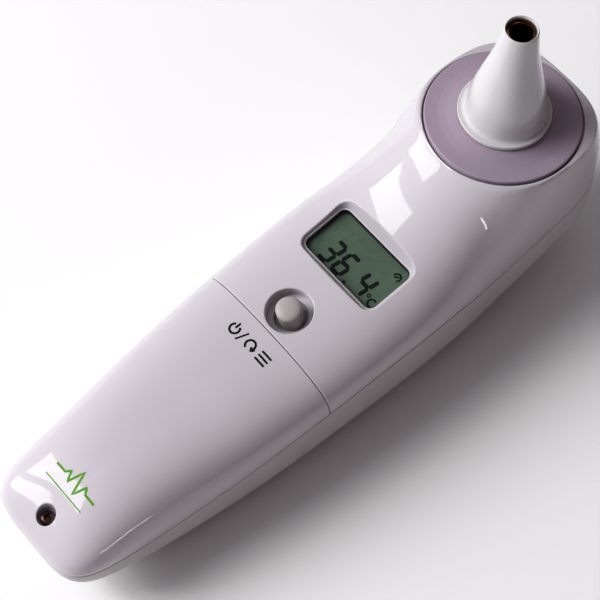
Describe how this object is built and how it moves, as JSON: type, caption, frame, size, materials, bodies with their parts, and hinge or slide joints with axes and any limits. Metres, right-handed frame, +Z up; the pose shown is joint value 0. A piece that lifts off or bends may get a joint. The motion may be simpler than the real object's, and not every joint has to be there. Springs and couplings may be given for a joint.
{
  "type": "infrared ear thermometer",
  "caption": "Hand-held infrared ear thermometer: two-shell handle with a screwed battery door, digital display, recall and scan buttons, and a cone probe on a round collar.",
  "frame": {"origin": "middle of the bounding box, on the surface that the thermometer's back rests on", "axes": "+X from the tail of the handle to the head, +Y to the left seen with the head away, +Z up out of the display face, in the probe's direction"},
  "size_m": [0.1507, 0.042, 0.074],
  "materials": {
    "shell_plastic": "pale lilac-grey moulded plastic, gloss",
    "rear_plastic": "grey moulded plastic, satin",
    "collar_plastic": "mauve-grey moulded plastic, fine matt",
    "probe_plastic": "white moulded plastic, gloss",
    "button_grey": "grey button plastic, satin",
    "button_green": "green button plastic, semi-gloss",
    "window_clear": "clear window plastic, polished",
    "display_glass": "grey-green liquid crystal display",
    "inner_white": "white engineering plastic, matt",
    "inner_black": "black engineering plastic, matt",
    "board_green": "green solder mask",
    "elastomer": "layered conductive rubber",
    "label_film": "grey film",
    "cell_jacket": "blue foil jacket, gloss",
    "screw_steel": "zinc-plated steel",
    "screw_brown": "dark brown coated steel",
    "spring_steel": "nickel-plated spring steel",
    "gold": "gold-plated tube, polished",
    "aluminium": "turned aluminium"
  },
  "bodies": {
    "housing": {"front_shell": "shell_plastic", "rear_shell": "rear_plastic", "rear_label": "label_film", "shell_screw_1": "screw_steel", "shell_screw_2": "screw_steel", "shell_screw_3": "screw_steel", "shell_screw_4": "screw_steel", "battery_tray": "inner_white", "contact_bridge": "spring_steel", "contact_plus": "spring_steel", "contact_minus": "spring_steel", "battery_cell_left": "cell_jacket", "battery_cell_right": "cell_jacket", "spring_tail": "spring_steel", "spring_head": "spring_steel", "display_window": "window_clear", "lcd_panel": "display_glass", "lcd_holder": "inner_white", "zebra_strip_tail": "elastomer", "zebra_strip_head": "elastomer", "circuit_board": "board_green", "controller_chip": "inner_black", "memory_chip": "inner_black", "crystal": "screw_steel", "capacitor_1": "aluminium", "capacitor_2": "aluminium", "cable_socket": "inner_white", "board_screw_1": "screw_steel", "board_screw_2": "screw_steel", "recall_switch": "inner_black", "scan_switch": "inner_black", "scan_board": "board_green", "probe_cone": "probe_plastic", "probe_collar": "collar_plastic", "wave_guide": "gold", "sensor_can": "screw_steel", "sensor_block": "aluminium", "sensor_retainer": "inner_black", "retainer_screw_1": "screw_steel", "retainer_screw_2": "screw_steel", "sensor_cable": "label_film", "buzzer": "inner_black"},
    "recall_button": {"recall_button": "button_grey"},
    "scan_button": {"scan_button": "button_green"},
    "battery_door": {"battery_door": "shell_plastic"},
    "door_screw": {"door_screw": "screw_brown"}
  },
  "joints": [
    {"name": "recall_press", "type": "slide", "parent": "housing", "child": "recall_button", "axis": [0.1219, 0, -0.9925], "range_m": [0, 0.0009], "stiffness_N_per_m": 900},
    {"name": "scan_press", "type": "slide", "parent": "housing", "child": "scan_button", "axis": [-1, 0, 0], "range_m": [0, 0.0009], "stiffness_N_per_m": 900},
    {"name": "door_tilt", "type": "hinge", "parent": "housing", "child": "battery_door", "pos_m": [-0.01085, 0, 0.0292], "axis": [0, 1, 0], "range_deg": [0, 50]},
    {"name": "screw_turn", "type": "hinge", "parent": "battery_door", "child": "door_screw", "pos_m": [-0.06995, 0, 0.0165], "axis": [0, 0, 1], "continuous": true}
  ]
}
